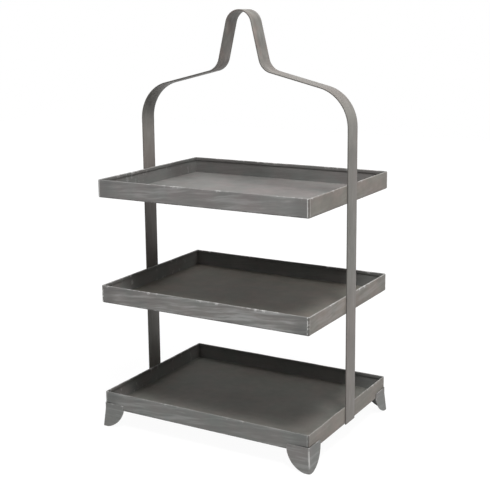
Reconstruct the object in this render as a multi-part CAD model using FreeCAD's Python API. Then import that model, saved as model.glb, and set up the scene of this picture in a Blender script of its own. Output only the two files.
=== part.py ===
import FreeCAD, Part
import math
import os

from FreeCAD import Vector

# A three-tier tray stand in sheet steel.  Three equal folded trays hang between the
# legs of one flat strap, which runs from the foot of one side, over the top as a
# carrying loop, and down the other side.  Four folded angle feet wrap the corners of
# the bottom tray.  Every joint is a face-to-face lap, soldered on the real stand.
#
# Millimetres.  +X is to the right of a person facing the front, +Y is to the back,
# +Z is up.  The origin is on the floor, under the middle of the stand.

# ---- trays -------------------------------------------------------------------
TRAY_WIDTH = 400.0            # outside, left wall to right wall
TRAY_DEPTH = 304.0            # outside, front wall to back wall
WALL_HEIGHT = 31.0            # underside of the floor to the top of the rim
SHEET = 1.0                   # thickness of the tray's sheet
FOLD_RADIUS = 2.5             # outside radius of the floor bends and upright corners
HEM_HEIGHT = 6.0              # the rim is folded inwards and down by this much
HEM_GAP = 0.3                 # air left inside the folded rim
MITRE_SLOT = 0.8              # gap between two hems where they meet in a corner

# ---- heights -----------------------------------------------------------------
OVERALL_HEIGHT = 720.0        # floor to the top of the carrying loop
FOOT_DROP = 32.0              # floor to the underside of the bottom tray
LOWER_PITCH = 192.5           # bottom tray to middle tray
UPPER_PITCH = 184.5           # middle tray to top tray

# ---- strap -------------------------------------------------------------------
STRAP_WIDTH = 35.0
STRAP_THICKNESS = 2.0
STRAP_EDGE_RADIUS = 0.4       # the rolled edge of flat bar
SHOULDER_HEIGHT = 582.5       # where leg and shoulder lines would cross
SHOULDER_SLOPE = 13.7         # degrees above level, rising to the middle
SHOULDER_RADIUS = 66.0        # bend between leg and shoulder
NECK_RADIUS = 28.0            # reverse bend between shoulder and loop
LOOP_LEAN = 13.4              # degrees from upright, each side of the loop
LOOP_RADIUS = 24.7            # bend over the top of the loop

# ---- feet --------------------------------------------------------------------
FOOT_SHEET = 1.5              # thickness of the foot's plate
FOOT_LAP = 10.0               # how far a foot reaches up the tray wall
FOOT_FLARE = 3.0              # how far its toe stands out from the line of the wall
CHEEK_WIDTH = 39.0            # from the tray's corner to the end of a cheek
TOE_WIDTH = 6.0               # how far the flat toe runs in from the line of the wall
CHEEK_CURVE_RADIUS = 42.0     # the round that runs from toe to tray
CHEEK_CORNER_RADIUS = 2.0     # the cheek's top corner, taken off with snips

TIERS = {
    "bottom_tray": FOOT_DROP,
    "middle_tray": FOOT_DROP + LOWER_PITCH,
    "top_tray": FOOT_DROP + LOWER_PITCH + UPPER_PITCH,
}
CORNERS = {
    "front_left_foot": (-1, -1),
    "front_right_foot": (1, -1),
    "back_left_foot": (-1, 1),
    "back_right_foot": (1, 1),
}
UP = Vector(0, 0, 1)
WHOLE_TURN = 360


# ---- trays -------------------------------------------------------------------
def folded_block(width, depth, height, radius):
    """A centred block whose floor and upright edges are rounded as folds."""
    block = Part.makeBox(width, depth, height, Vector(-width / 2, -depth / 2, 0))
    folds = [edge for edge in block.Edges if edge.BoundBox.ZMin < height / 2]
    return block.makeFillet(radius, folds)


def hem_section():
    """The folded rim in section: X is into the tray, Z is the height in the tray."""
    outer = SHEET + HEM_GAP / 2
    inner = HEM_GAP / 2
    spring = WALL_HEIGHT - outer
    foot = WALL_HEIGHT - HEM_HEIGHT
    outside = Vector(0, 0, spring)
    crown = Vector(outer, 0, spring + outer)
    leg_inside = Vector(2 * outer, 0, spring)
    leg_tip = Vector(2 * outer, 0, foot)
    leg_root = Vector(2 * outer - SHEET, 0, foot)
    gap_leg = Vector(outer + inner, 0, spring)
    gap_crown = Vector(outer, 0, spring + inner)
    gap_wall = Vector(outer - inner, 0, spring)
    edges = [
        Part.Arc(outside, crown, leg_inside).toShape(),
        Part.LineSegment(leg_inside, leg_tip).toShape(),
        Part.LineSegment(leg_tip, leg_root).toShape(),
        Part.LineSegment(leg_root, gap_leg).toShape(),
        Part.Arc(gap_leg, gap_crown, gap_wall).toShape(),
        Part.LineSegment(gap_wall, outside).toShape(),
    ]
    return Part.Face(Part.Wire(edges))


def mitred_hem(run, offset):
    """One side's hem, `run` long, with 45 degree ends, standing `offset` from Z."""
    reach = 2 * SHEET + HEM_GAP
    strip = hem_section().extrude(Vector(0, run, 0))
    plan = Part.makePolygon([
        Vector(0, 0, 0),
        Vector(reach, reach, 0),
        Vector(reach, run - reach, 0),
        Vector(0, run, 0),
        Vector(0, 0, 0),
    ])
    strip = strip.common(Part.Face(plan).extrude(UP * WALL_HEIGHT))
    strip.translate(Vector(-offset, -run / 2, 0))
    return strip


def rim():
    """Four mitred hems in a ring, rounded to the tray's corners and slit at the mitres."""
    sides = [(TRAY_DEPTH, TRAY_WIDTH / 2), (TRAY_WIDTH, TRAY_DEPTH / 2)] * 2
    hems = []
    for turn, (run, offset) in enumerate(sides):
        hem = mitred_hem(run, offset)
        hem.rotate(Vector(0, 0, 0), UP, turn * WHOLE_TURN / len(sides))
        hems.append(hem)
    ring = hems[0].multiFuse(hems[1:])
    ring = ring.common(folded_block(TRAY_WIDTH, TRAY_DEPTH, WALL_HEIGHT, FOLD_RADIUS))
    return ring.cut(mitre_slots())


def mitre_slots():
    """Narrow cutters across the four corners, below the crown of the rim."""
    spring = WALL_HEIGHT - SHEET - HEM_GAP / 2
    reach = 3 * SHEET
    slots = []
    for x_side, y_side in CORNERS.values():
        slot = Part.makeBox(2 * reach, MITRE_SLOT, HEM_HEIGHT,
                            Vector(-reach, -MITRE_SLOT / 2, spring - HEM_HEIGHT))
        slot.rotate(Vector(0, 0, 0), UP, math.degrees(math.atan2(y_side, x_side)))
        inset = SHEET + HEM_GAP / 2 + reach * math.sqrt(0.5)
        slot.translate(Vector(x_side * (TRAY_WIDTH / 2 - inset),
                              y_side * (TRAY_DEPTH / 2 - inset), 0))
        slots.append(slot)
    return slots


def tray(underside):
    """A folded pan with a closed hem, its floor `underside` above the ground."""
    spring = WALL_HEIGHT - SHEET - HEM_GAP / 2
    outside = folded_block(TRAY_WIDTH, TRAY_DEPTH, spring, FOLD_RADIUS)
    inside = folded_block(TRAY_WIDTH - 2 * SHEET, TRAY_DEPTH - 2 * SHEET,
                          WALL_HEIGHT, FOLD_RADIUS - SHEET)
    inside.translate(UP * SHEET)
    pan = outside.cut(inside).fuse(rim()).removeSplitter()
    pan.translate(UP * underside)
    return pan


# ---- strap -------------------------------------------------------------------
def strap_corners():
    """Where the strap's straight runs would cross, left foot to right foot, and bends."""
    leg = TRAY_WIDTH / 2 + STRAP_THICKNESS / 2
    slope = math.tan(math.radians(SHOULDER_SLOPE))
    lean = math.radians(LOOP_LEAN)
    loop_centre = OVERALL_HEIGHT - STRAP_THICKNESS / 2 - LOOP_RADIUS
    peak = loop_centre + LOOP_RADIUS / math.sin(lean)
    rise = peak - SHOULDER_HEIGHT - leg * slope
    neck = rise * math.tan(lean) / (1 - slope * math.tan(lean))
    neck_height = SHOULDER_HEIGHT + (leg - neck) * slope
    half = [(leg, FOOT_DROP), (leg, SHOULDER_HEIGHT), (neck, neck_height)]
    corners = [Vector(-x, 0, z) for x, z in half]
    corners += [Vector(0, 0, peak)]
    corners += [Vector(x, 0, z) for x, z in reversed(half)]
    bends = [SHOULDER_RADIUS, NECK_RADIUS, LOOP_RADIUS, NECK_RADIUS, SHOULDER_RADIUS]
    return corners, bends


def to_the_left(direction):
    """The direction a quarter turn to the left in the XZ plane."""
    return Vector(-direction.z, 0, direction.x)


def strap_face(corners, bends, offset):
    """Edges of one broad face of the strap, `offset` to the left of its middle line."""
    edges = []
    into = (corners[1] - corners[0]).normalize()
    here = corners[0] + to_the_left(into) * offset
    for corner, following, radius in zip(corners[1:], corners[2:], bends):
        out = (following - corner).normalize()
        half_turn = into.getAngle(out) / 2
        setback = radius * math.tan(half_turn)
        towards_centre = (out - into).normalize()
        centre = corner + towards_centre * (radius / math.cos(half_turn))
        start = corner - into * setback + to_the_left(into) * offset
        end = corner + out * setback + to_the_left(out) * offset
        middle = centre - towards_centre * start.distanceToPoint(centre)
        edges.append(Part.LineSegment(here, start).toShape())
        edges.append(Part.Arc(start, middle, end).toShape())
        here = end
        into = out
    last = corners[-1] + to_the_left(into) * offset
    edges.append(Part.LineSegment(here, last).toShape())
    return edges


def handle_strap():
    """Flat bar bent edge to edge in one plane, with its long edges eased."""
    corners, bends = strap_corners()
    outer = strap_face(corners, bends, STRAP_THICKNESS / 2)
    inner = strap_face(corners, bends, -STRAP_THICKNESS / 2)
    ends = [
        Part.LineSegment(outer[0].Vertexes[0].Point, inner[0].Vertexes[0].Point).toShape(),
        Part.LineSegment(outer[-1].Vertexes[-1].Point, inner[-1].Vertexes[-1].Point).toShape(),
    ]
    section = Part.Face(Part.Wire(Part.__sortEdges__(outer + inner + ends)))
    section.translate(Vector(0, -STRAP_WIDTH / 2, 0))
    bar = section.extrude(Vector(0, STRAP_WIDTH, 0))
    long_edges = [
        edge for edge in bar.Edges
        if edge.BoundBox.YLength < STRAP_THICKNESS and edge.Length > 2 * STRAP_THICKNESS
    ]
    return bar.makeFillet(STRAP_EDGE_RADIUS, long_edges)


# ---- feet --------------------------------------------------------------------
def cheek_outline():
    """A cheek seen square on: X from the tray's corner, Z from the floor."""
    top = FOOT_DROP + FOOT_LAP
    beyond = -FOOT_SHEET - FOOT_FLARE
    toe = Vector(TOE_WIDTH, 0, 0)
    heel = Vector(CHEEK_WIDTH, 0, FOOT_DROP)
    chord = heel - toe
    bulge = CHEEK_CURVE_RADIUS - math.sqrt(CHEEK_CURVE_RADIUS ** 2 - (chord.Length / 2) ** 2)
    outwards = to_the_left(chord.normalize()) * -1
    middle = (toe + heel) * 0.5 + outwards * bulge
    snip = CHEEK_CORNER_RADIUS
    snip_centre = Vector(CHEEK_WIDTH - snip, 0, top - snip)
    snip_middle = snip_centre + Vector(1, 0, 1).normalize() * snip
    side = Vector(CHEEK_WIDTH, 0, top - snip)
    crest = Vector(CHEEK_WIDTH - snip, 0, top)
    fold_top = Vector(beyond, 0, top)
    fold_foot = Vector(beyond, 0, 0)
    edges = [
        Part.LineSegment(fold_foot, toe).toShape(),
        Part.Arc(toe, middle, heel).toShape(),
        Part.LineSegment(heel, side).toShape(),
        Part.Arc(side, snip_middle, crest).toShape(),
        Part.LineSegment(crest, fold_top).toShape(),
        Part.LineSegment(fold_top, fold_foot).toShape(),
    ]
    return Part.Face(Part.Wire(edges))


def corner_profile(start, radius, height):
    """A level square from (start, start) inwards, with that one corner rounded."""
    far = CHEEK_WIDTH + FOOT_SHEET
    past_fold = start + radius
    rounding = start + radius * (1 - math.sqrt(0.5))
    near_y = Vector(start, past_fold, height)
    near_x = Vector(past_fold, start, height)
    edges = [
        Part.Arc(near_y, Vector(rounding, rounding, height), near_x).toShape(),
        Part.LineSegment(near_x, Vector(far, start, height)).toShape(),
        Part.LineSegment(Vector(far, start, height), Vector(far, far, height)).toShape(),
        Part.LineSegment(Vector(far, far, height), Vector(start, far, height)).toShape(),
        Part.LineSegment(Vector(start, far, height), near_y).toShape(),
    ]
    return Part.Wire(edges)


def with_true_planes(lofted):
    """The same solid, with each ruled face that is flat made a plane."""
    faces = []
    for face in lofted.Faces:
        plane = face.findPlane()
        faces.append(Part.Face(plane, face.OuterWire) if plane else face)
    return Part.Solid(Part.Shell(faces))


def corner_post(start, radius):
    """A post that splays out by the flare below the tray and stands plumb against it."""
    wall_line = corner_profile(start, radius, FOOT_DROP)
    floor_line = corner_profile(start - FOOT_FLARE, radius, 0)
    splayed = with_true_planes(Part.makeLoft([floor_line, wall_line], True, True))
    plumb = Part.Face(wall_line).extrude(UP * FOOT_LAP)
    return splayed.fuse(plumb)


def angle_foot():
    """A plate folded round a corner at the origin, opening towards +X and +Y."""
    plate = corner_post(-FOOT_SHEET, FOLD_RADIUS + FOOT_SHEET).cut(corner_post(0, FOLD_RADIUS))
    beyond = 2 * FOOT_SHEET + FOOT_FLARE
    front = cheek_outline()
    front.translate(Vector(0, -beyond, 0))
    front = front.extrude(Vector(0, CHEEK_WIDTH + 2 * beyond, 0))
    side = front.mirror(Vector(0, 0, 0), Vector(1, -1, 0))
    return plate.common(front).common(side)


def placed_foot(x_side, y_side):
    """The foot turned to face the middle of the stand from one of its corners."""
    foot = angle_foot()
    if x_side > 0:
        foot = foot.mirror(Vector(0, 0, 0), Vector(1, 0, 0))
    if y_side > 0:
        foot = foot.mirror(Vector(0, 0, 0), Vector(0, 1, 0))
    foot.translate(Vector(x_side * TRAY_WIDTH / 2, y_side * TRAY_DEPTH / 2, 0))
    return foot


# ---- the stand ---------------------------------------------------------------
def pieces():
    """Every separate piece of the stand, by name."""
    stand = {name: tray(underside) for name, underside in TIERS.items()}
    stand["handle_strap"] = handle_strap()
    for name, (x_side, y_side) in CORNERS.items():
        stand[name] = placed_foot(x_side, y_side)
    return stand


os.makedirs("parts", exist_ok=True)
for name, shape in pieces().items():
    solid = shape.Solids[0]
    print(name, "solids", len(shape.Solids), "valid", solid.isValid(),
          "volume %.0f mm3" % solid.Volume, solid.BoundBox)
    solid.exportStep("parts/" + name + ".step")
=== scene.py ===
# %% [markdown]
# # A three-tier tray stand in grey-washed sheet metal
#
# The stand has three equal folded trays.  They hang between the two legs of one flat strap,
# which rises over the top tray as a carrying loop.  Four feet folded from plate wrap the
# corners of the bottom tray.
#
# The construction is already settled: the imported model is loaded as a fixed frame, and every
# piece below is placed from that frame.  Nothing is moved or resized here.  This lesson only
# gives each piece the softness, the seams and the finish that plain solids lack.

# %% Load the frame
import math
from collections import namedtuple
import bmesh
import bpy
from mathutils import Matrix, Vector, noise


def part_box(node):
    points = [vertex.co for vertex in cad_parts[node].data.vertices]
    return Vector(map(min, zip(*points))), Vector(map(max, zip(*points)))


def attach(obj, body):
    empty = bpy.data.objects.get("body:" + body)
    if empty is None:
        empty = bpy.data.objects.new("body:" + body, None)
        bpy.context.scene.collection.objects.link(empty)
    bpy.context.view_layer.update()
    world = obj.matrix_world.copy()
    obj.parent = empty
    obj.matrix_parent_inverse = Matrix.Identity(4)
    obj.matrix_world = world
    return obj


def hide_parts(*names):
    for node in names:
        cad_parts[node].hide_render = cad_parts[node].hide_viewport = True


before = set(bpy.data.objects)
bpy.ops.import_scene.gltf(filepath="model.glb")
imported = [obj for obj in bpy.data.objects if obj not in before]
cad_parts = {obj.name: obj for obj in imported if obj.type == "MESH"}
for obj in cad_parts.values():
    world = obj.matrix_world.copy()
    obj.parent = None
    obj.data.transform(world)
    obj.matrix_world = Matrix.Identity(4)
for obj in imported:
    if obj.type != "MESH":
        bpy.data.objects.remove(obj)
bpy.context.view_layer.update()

print("nodes in the frame:", ", ".join(sorted(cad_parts)))

# %% [markdown]
# ## Sizes
#
# What the frame knows is read from the frame: where each tray starts and how wide, deep and
# high it is.  What a box can't tell, such as the thickness of the sheet or the radius of a
# bend, is named here once, in the same metres that Blender works in.

# %% Sizes of the stock and of its bends
MM = 0.001
SHEET = 1.0 * MM               # tray sheet
FOLD_RADIUS = 2.5 * MM         # outside radius of a tray's folds
HEM_HEIGHT = 6.0 * MM          # rim folded inwards and down by this much
HEM_GAP = 0.3 * MM             # air left inside the folded rim
MITRE_SLOT = 0.8 * MM          # gap between two hems in a corner
STRAP_THICKNESS = 2.0 * MM
STRAP_EDGE_RADIUS = 0.4 * MM
FOOT_SHEET = 1.5 * MM
FOOT_LAP = 10 * MM             # how far a foot reaches up the tray's wall

TRAYS = ["bottom_tray", "middle_tray", "top_tray"]
FEET = {
    "front_left_foot": (-1, -1),
    "front_right_foot": (1, -1),
    "back_left_foot": (-1, 1),
    "back_right_foot": (1, 1),
}

tray_low, tray_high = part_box("top_tray")
HALF_WIDTH = tray_high.x
HALF_DEPTH = tray_high.y
WALL_HEIGHT = tray_high.z - tray_low.z
underside = {name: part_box(name)[0].z for name in TRAYS}
strap_low, strap_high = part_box("handle_strap")
STRAP_WIDTH = strap_high.y - strap_low.y
FOOT_DROP = underside["bottom_tray"]
print("tray half width and half depth:", round(HALF_WIDTH, 4), round(HALF_DEPTH, 4))
print("undersides:", {name: round(height, 4) for name, height in underside.items()})

# %% [markdown]
# ## Camera
#
# The camera stands in front of the stand and to its right, a little above the top tray.
# A view is easiest to repeat when it is written as a studio camera is set up: an azimuth, an
# elevation, a distance and a small roll, all about a target on the stand's axis.  The lens
# comes from a focal length in pixels, because the rendered picture is 490 pixels wide.

# %% Place the camera
PICTURE = 490                   # pixels each way
FOCAL_PIXELS = 1022.05
OPTICAL_AXIS_RAISED = 36        # pixels that the lens axis sits above the picture's middle
AZIMUTH = math.radians(30.36)
ELEVATION = math.radians(10.94)
ROLL = math.radians(-0.57)
DISTANCE = 1.7717
TARGET = Vector((0, 0, 0.36))
SIDE_STEP = -0.00086            # camera moved along its own right and up
UP_STEP = 0.02028

back = Vector((
    math.sin(AZIMUTH) * math.cos(ELEVATION),
    -math.cos(AZIMUTH) * math.cos(ELEVATION),
    math.sin(ELEVATION),
))
level_right = Vector((math.cos(AZIMUTH), math.sin(AZIMUTH), 0))
level_up = back.cross(level_right)
right = level_right * math.cos(ROLL) + level_up * math.sin(ROLL)
up = level_up * math.cos(ROLL) - level_right * math.sin(ROLL)

lens = bpy.data.cameras.new("portrait_lens")
lens.sensor_width = 36          # millimetres
lens.lens = FOCAL_PIXELS / PICTURE * lens.sensor_width
lens.shift_y = -OPTICAL_AXIS_RAISED / PICTURE
camera = bpy.data.objects.new("camera", lens)
camera.matrix_world = Matrix((right, up, back)).transposed().to_4x4()
camera.location = TARGET + back * DISTANCE + right * SIDE_STEP + up * UP_STEP
bpy.context.scene.collection.objects.link(camera)
bpy.context.scene.camera = camera
print("lens %.1f mm, camera at %s" % (lens.lens, [round(x, 3) for x in camera.location]))

# %% [markdown]
# ## Shader maths as Python expressions
#
# A finish is easier to read as a sum than as a web of nodes.  `Signal` wraps one socket, and
# Python's operators on it add the node that does that sum: Math for plain numbers, Vector Math
# for colours and vectors, since a Math node would turn a colour grey.

# %% One socket as a value
class Signal:
    """One output socket of a node tree, on which Python's own operators work."""

    def __init__(self, recipe, socket):
        self.recipe = recipe
        self.socket = socket

    def other(self, name):
        """Another output of the node that this one comes from."""
        return Signal(self.recipe, self.socket.node.outputs[name])

    def joined(self, operation, first, second):
        """The sum, product or other outcome of two values, from one new node."""
        pair = [first, second]
        if all(isinstance(x, (int, float)) or (isinstance(x, Signal) and x.socket.type == "VALUE")
               for x in pair):
            return self.recipe.node("ShaderNodeMath", {"operation": operation}, dict(enumerate(pair)))
        pair = [(x, x, x) if isinstance(x, (int, float)) else x for x in pair]
        return self.recipe.node("ShaderNodeVectorMath", {"operation": operation}, dict(enumerate(pair)))

    def __add__(self, other):
        return self.joined("ADD", self, other)

    def __sub__(self, other):
        return self.joined("SUBTRACT", self, other)

    def __mul__(self, other):
        return self.joined("MULTIPLY", self, other)

    def __rsub__(self, other):
        return self.joined("SUBTRACT", other, self)

    __radd__ = __add__
    __rmul__ = __mul__

    def __abs__(self):
        return self.joined("ABSOLUTE", self, 0.0)


print("helper ready: Signal")

# %% [markdown]
# Every other node comes from one method, `Recipe.node`, which takes the node's type, its
# settings and its sockets.  Three more methods name what the finishes ask for again and again.
# The same class builds the Geometry Nodes tree further down.

# %% A node tree that is filled by writing sums
class Recipe:
    """A node tree that is filled by writing expressions."""

    def __init__(self, tree):
        self.tree = tree

    def node(self, kind, settings=None, sockets=None, output=0):
        """Adds one node, fills and joins its sockets, and gives one of its outputs."""
        made = self.tree.nodes.new(kind)
        for name, value in (settings or {}).items():
            setattr(made, name, value)
        for name, value in (sockets or {}).items():
            entry = made.inputs[name]
            if isinstance(value, Signal):
                self.tree.links.new(value.socket, entry)
            elif entry.type == "RGBA":
                entry.default_value = (*value, 1.0)
            else:
                entry.default_value = value
        return None if output is None else Signal(self, made.outputs[output])

    def noise(self, place, detail=2.0, roughness=0.5):
        """Soft noise, 0 to 1, where `place` is already scaled."""
        return self.node("ShaderNodeTexNoise", None, {
            "Vector": place, "Scale": 1.0, "Detail": detail, "Roughness": roughness,
        })

    def ease(self, value, low, high):
        """0 below `low`, 1 above `high`, and smooth between them."""
        return self.node("ShaderNodeMapRange", {"interpolation_type": "SMOOTHSTEP"}, {
            "Value": value, "From Min": low, "From Max": high,
        })

    def blend(self, share, first, second):
        """`first` where share is 0 and `second` where it is 1, as colours."""
        return self.node("ShaderNodeMix", {"data_type": "RGBA"}, {0: share, 6: first, 7: second}, 2)


print("helper ready: Recipe")

# %% [markdown]
# ## The finish: grey wash brushed over zinc
#
# The real sheet is zinc-plated and then washed with thin grey colour on a wide, nearly dry
# brush.  That leaves long wavy streaks along each wall, soft clouds on the floors, and bright
# metal wherever hands and cloths rub it: along the rims and beside the corners.  A picture
# wrapped on the metal would slide over the bends, so the finish is worked out from each
# point's own place in metres.  All the pieces share one start, one end and a few colours.

# %% How every finish starts and ends
def start_finish(name):
    """A new material: its recipe, its Principled shader and its places in metres."""
    material = bpy.data.materials.new(name)
    material.use_nodes = True
    recipe = Recipe(material.node_tree)
    shader = material.node_tree.nodes["Principled BSDF"]
    place = recipe.node("ShaderNodeTexCoord", output="Object")
    return material, recipe, shader, place


def attribute(recipe, name):
    """A number that was stored on the mesh."""
    return recipe.node("ShaderNodeAttribute", {"attribute_name": name}, output="Fac")


def feed(recipe, shader, colour, roughness, metallic, height, depth):
    """Joins the finished signals to the shader; `depth` is the relief's depth in metres."""
    relief = recipe.node("ShaderNodeBump", None, {
        "Height": height, "Strength": 1.0, "Distance": depth,
    })
    for name, value in (("Base Color", colour), ("Roughness", roughness),
                        ("Metallic", metallic), ("Normal", relief)):
        recipe.tree.links.new(value.socket, shader.inputs[name])
    shader.inputs["Specular IOR Level"].default_value = WASH_SPECULAR


WASH_SPECULAR = 0.3                 # the wash is chalkier than bare paint
RELIEF = 0.15 * MM                  # depth of the brush's marks
GROUND = (0.175, 0.1735, 0.169)     # the wash itself
STREAK = (0.330, 0.328, 0.322)      # where the dry brush skipped and zinc shows through
# Bare metal, also the colour of the painted highlights on the side rims and on the feet's folds and cut
# edges.
BARE_METAL_AND_HIGHLIGHT = (0.560, 0.557, 0.545)      # bare metal on rims and beside corners
COOL = (0.97, 1.00, 0.98)           # the wash drifts between greenish and brownish grey
WARM = (1.04, 0.99, 0.98)
print("shared colours: ground, streak, rubbed, and a drift from cool to warm")

# %% [markdown]
# A tray's finish has to know where on the tray a point lies: on the floor or a wall, inside or
# outside, near the rim or near a corner.  A place in metres hardly tells the two faces of a
# thin sheet apart.  So each tray's mesh, further down, carries four numbers at every vertex,
# and this class reads them once for all the steps of the finish.

# %% Where a point of a tray lies
class OnTray:
    """Where a point of a tray lies, from its place and from the numbers stored on the mesh."""

    def __init__(self, recipe, place):
        self.place = place
        self.x = recipe.node("ShaderNodeSeparateXYZ", None, {0: place}, "X")
        self.y = self.x.other("Y")
        self.z = self.x.other("Z")
        self.rise = attribute(recipe, "rise")                  # millimetres above the underside
        self.inside = attribute(recipe, "inside")              # 1 on the floor, inner walls and hem
        self.side = attribute(recipe, "side")                  # 1 on walls that face left or right
        self.from_corner = attribute(recipe, "from_corner")    # millimetres along the wall
        self.outside = 1 - self.inside
        underneath = recipe.ease(self.rise, 0.5, 0.1) * self.outside
        self.outer_wall = self.outside - underneath
        self.on_floor = recipe.ease(self.rise, 2.6, 1.4) * self.inside + underneath
        self.on_wall = 1 - self.on_floor
        self.inner_side = self.inside * self.on_wall * self.side


print("helper ready: OnTray")

# %% [markdown]
# The nearly dry brush was drawn along each wall and skipped.  Even noise would give clouds, so
# the noise is stretched: it changes slowly along the wall and quickly up it.  The height that
# it reads tilts and wanders a little, as a hand does.  Beside the corners, where the tray is
# taken hold of, the streaks are fewer and the wash is darker.

# %% The brush's strokes
def brush_strokes(recipe, at, brushwork):
    """Where the brush skipped, where the wash lies thick, and the fine strokes themselves."""
    wander = recipe.noise(at.place * (20.0, 20.0, 30.0), detail=1.0) - 0.5
    level = at.z - 0.09 * (at.x + at.y) + wander * (8 * MM)
    fine = recipe.noise(recipe.node("ShaderNodeCombineXYZ", None, {
        "X": at.x * 17.0, "Y": at.y * 17.0, "Z": level * 240.0,
    }), detail=3.0, roughness=0.6)
    broad = recipe.noise(recipe.node("ShaderNodeCombineXYZ", None, {
        "X": at.x * 6.0 + 5.0, "Y": at.y * 6.0, "Z": level * 80.0,
    }), detail=2.0)
    stroke = fine + 0.6 * (broad - 0.5)
    handled = recipe.ease(at.from_corner, 38.0, 14.0) * at.outside * (1 - 0.7 * at.side)
    strength = at.on_wall * (0.25 + 0.75 * at.outside) * (1 - 0.6 * at.side) * brushwork
    skipped = recipe.ease(stroke, 0.47, 0.70) * strength * (1 - 0.8 * handled)
    thick = recipe.ease(stroke, 0.50, 0.28) * strength * 0.7 + 0.4 * handled
    return skipped, thick, fine


print("helper ready: brush_strokes")

# %% [markdown]
# The wash is rubbed away where the sheet stands out: along the rim, in nicks just under it, on
# the lowest edge and on both sides of each corner seam, with a few marks on the inner side
# walls.  The rims of the side walls are made a little brighter still, which is a painted
# highlight.  An even bright line would look drawn.  So each line is found from the heights and
# distances that the mesh carries, and a finer noise breaks it up into dashes and chips.

# %% Rubbed metal and a painted highlight
RIM = WALL_HEIGHT / MM              # millimetres above a tray's underside
SEAM_LINE = 3.0                     # millimetres from the corner to the rubbed line beside it


def rubbed_metal_and_highlight(recipe, at, chips, wear, seam_wear, seam_jag, side_marks):
    """How bare the metal is, 0 to 1, on the rim, the lowest edge and beside each seam, with a painted
    highlight added on the side walls' rims.
    """
    patchy = recipe.noise(at.place * (13.0, 13.0, 4.0) + (3.0, 7.0, 1.0), detail=1.0)
    stretch = recipe.ease(patchy, 0.42, 0.58)
    dashes = recipe.ease(chips, 0.44, 0.60)
    flecks = recipe.ease(chips, 0.58, 0.66) * stretch
    # Painted highlight: the 0.12 on the side walls' rims, on top of the worn metal.
    rim = 0.08 + 0.34 * stretch * dashes + 0.12 * at.side
    rim = recipe.ease(at.rise, RIM - 1.6, RIM - 0.6) * rim * wear
    nicks = recipe.ease(at.rise, RIM - 4.4, RIM - 2.6) * flecks * (0.35 * wear)
    marks = recipe.ease(chips, 0.62, 0.68) * at.inner_side * (0.2 + 0.25 * side_marks)
    toe_line = recipe.ease(at.rise, 3.0, 0.8) * at.outer_wall * flecks * 0.4
    ragged = recipe.noise(at.place * (40.0, 40.0, 170.0) + (2.0, 6.0, 3.0), detail=2.0) - 0.5
    seam = 1 - recipe.ease(abs(at.from_corner + seam_jag * ragged - SEAM_LINE), 0.4, 1.0)
    seam = seam * at.outside * recipe.ease(at.rise, 0.5, 2.5) * (1 - 0.5 * at.side)
    evenly = 1.1 - 0.17 * seam_jag                    # a straighter seam is rubbed more evenly
    seam = seam * (evenly + (1.25 - evenly) * recipe.ease(ragged, -0.10, 0.06)) * seam_wear
    return recipe.node("ShaderNodeClamp", None, {"Value": rim + nicks + marks + toe_line + seam})


print("rim at", round(RIM, 2), "mm, rubbed line", SEAM_LINE, "mm from the corner")

# %% [markdown]
# The wash dries thick and dark in the corner seam.  Painted shade darkens the bend between floor
# and wall, the hem and the lowest edge, and a painted shadow lies just above the feet.  Each is a
# band of heights or distances with soft sides, and their sum darkens the finished colour.

# %% Dark seams and painted shade
HEM = RIM - HEM_HEIGHT / MM         # the hem's lower edge, above a tray's underside
LAP = FOOT_LAP / MM                 # the feet's upper edges


def dark_seams_and_painted_shade(recipe, at, chips, lap_shadow_strength):
    """How much darker the colour is: dark wash in the seams, and painted shade in the bends, on the hem,
    along the lowest edge and above the feet.
    """
    # Painted shade in the inner bend, on the hem and along the lowest edge, and a painted shadow of the
    # feet's upper edges; only the seam's dark wash is the sheet's own.
    bend = recipe.ease(at.rise, 5.0, 1.6) * at.inside * at.on_wall
    seam = (1 - recipe.ease(at.from_corner, 1.6, 2.3)) * at.outside
    hem = recipe.ease(at.rise, HEM - 0.8, HEM + 0.2) * at.inside
    hem = hem * recipe.ease(at.rise, RIM - 0.5, RIM - 2.0)
    shaded_bottom_edge = recipe.ease(at.rise, 2.8, 0.8) * at.outer_wall * recipe.ease(chips, 0.54, 0.44)
    lap = recipe.ease(at.rise, LAP - 0.6, LAP + 0.2) * recipe.ease(at.rise, LAP + 2.0, LAP + 1.0)
    lap = lap * at.outside * recipe.ease(at.from_corner, 26.0, 9.0) * lap_shadow_strength
    return 0.25 * bend + 0.30 * seam + 0.6 * shaded_bottom_edge + 0.15 * hem + lap


print("hem's edge at", round(HEM, 2), "mm, feet lapped to", round(LAP, 2), "mm")

# %% [markdown]
# The three trays were washed by hand and don't match: the middle one is the most streaked and
# worn, and the top one's outer walls are tinted palest.  Painted light tints the floors: the top
# floor paler, the two lower floors darker and browner with painted shade and warm light.  The
# outer side walls are paler and browner with painted warm light.  Three finishes written out
# would repeat themselves, so one function makes all three, and its arguments say how they differ.

# %% The trays' finish
POOLED = (0.118, 0.117, 0.115)      # where the wash dried thick
# Painted warm light: the outer side walls are made paler and browner, as if lit warmly from the side.
WARM_SIDE_LIGHT = (1.18, 1.09, 1.01)        # the outer side walls are paler and browner
PLAIN = (1.0, 1.0, 1.0)             # no tint


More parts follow.
